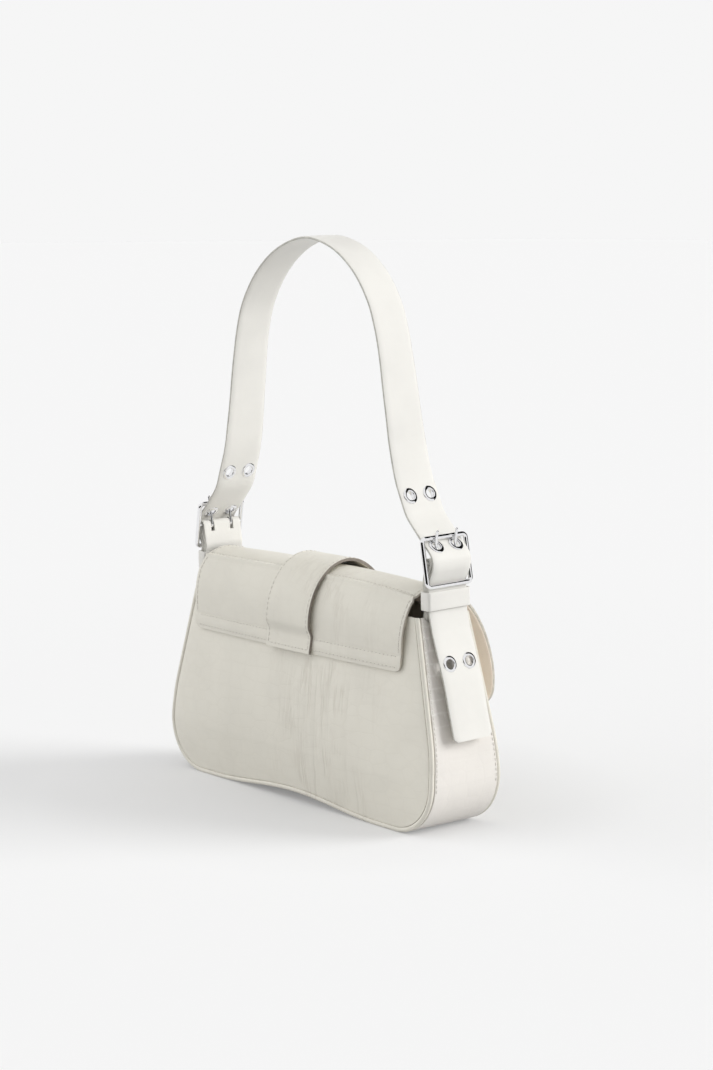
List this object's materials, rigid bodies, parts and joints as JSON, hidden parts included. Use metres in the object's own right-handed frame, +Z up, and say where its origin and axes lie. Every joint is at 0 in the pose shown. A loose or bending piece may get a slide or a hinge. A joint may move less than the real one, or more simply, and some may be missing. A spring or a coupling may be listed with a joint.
{
  "type": "baguette bag",
  "caption": "Small arched shoulder bag with flaring sides, a fold-over flap with a centre tab, and a strap threaded through double-pronged buckles.",
  "frame": {"origin": "centre of the overall box in X and Y, at the height of the two feet it stands on", "axes": "+Z up; +X to the wearer's left of the front, along the bag's width; -Y towards the front that the flap closes over, so that the pictured back with the sewn tab faces +Y"},
  "size_m": [0.2782, 0.0842, 0.3647],
  "materials": {
    "leather": "coated cream leather with a fine crocodile emboss, satin",
    "lining": "beige woven cloth, matte",
    "board": "grey-brown stiffening board, matte",
    "metal": "polished chrome plate"
  },
  "bodies": {
    "bag": {"back_panel": "leather", "front_panel": "leather", "gusset": "leather", "back_piping": "leather", "front_piping": "leather", "back_facing": "leather", "front_facing": "leather", "back_lining": "lining", "front_lining": "lining", "gusset_lining": "lining", "slip_pocket": "lining", "base_board": "board", "chape_anchors": "leather", "flap_hem": "leather", "tab_hem": "leather", "snap_socket": "metal", "snap_washer": "metal"},
    "flap": {"flap_shell": "leather", "flap_lining": "lining", "centre_tab": "leather", "snap_stud": "metal"},
    "strap": {"strap_leather": "leather", "strap_backing": "leather", "chape_right": "leather", "chape_left": "leather", "eyelets_right": "metal", "eyelets_left": "metal", "buckle_right": "metal", "buckle_left": "metal"},
    "right_back_prong": {"prong_right_back": "metal"},
    "right_front_prong": {"prong_right_front": "metal"},
    "left_back_prong": {"prong_left_back": "metal"},
    "left_front_prong": {"prong_left_front": "metal"},
    "right_keeper": {"keeper_right": "leather"},
    "left_keeper": {"keeper_left": "leather"}
  },
  "joints": [
    {"name": "flap_lift", "type": "hinge", "parent": "bag", "child": "flap", "pos_m": [0, 0.04015, 0.11], "axis": [-1, 0, 0], "range_deg": [0, 66]},
    {"name": "strap_swing", "type": "hinge", "parent": "bag", "child": "strap", "pos_m": [0, 0.00836, 0.15], "axis": [1, 0, 0], "range_deg": [-15, 80]},
    {"name": "right_back_prong_lift", "type": "hinge", "parent": "strap", "child": "right_back_prong", "pos_m": [0.1156, 0.00877, 0.16809], "axis": [0, 0.9997, -0.0227], "range_deg": [0, 5]},
    {"name": "right_front_prong_lift", "type": "hinge", "parent": "strap", "child": "right_front_prong", "pos_m": [0.1156, 0.00877, 0.16809], "axis": [0, 0.9997, -0.0227], "range_deg": [0, 5]},
    {"name": "left_back_prong_lift", "type": "hinge", "parent": "strap", "child": "left_back_prong", "pos_m": [-0.1156, 0.00877, 0.16809], "axis": [0, -0.9997, 0.0227], "range_deg": [0, 5]},
    {"name": "left_front_prong_lift", "type": "hinge", "parent": "strap", "child": "left_front_prong", "pos_m": [-0.1156, 0.00877, 0.16809], "axis": [0, -0.9997, 0.0227], "range_deg": [0, 5]},
    {"name": "right_keeper_slide", "type": "slide", "parent": "strap", "child": "right_keeper", "axis": [0, 0.0227, 0.9997], "range_m": [-0.0008, 0.0005]},
    {"name": "left_keeper_slide", "type": "slide", "parent": "strap", "child": "left_keeper", "axis": [0, 0.0227, 0.9997], "range_m": [-0.0008, 0.0005]}
  ]
}
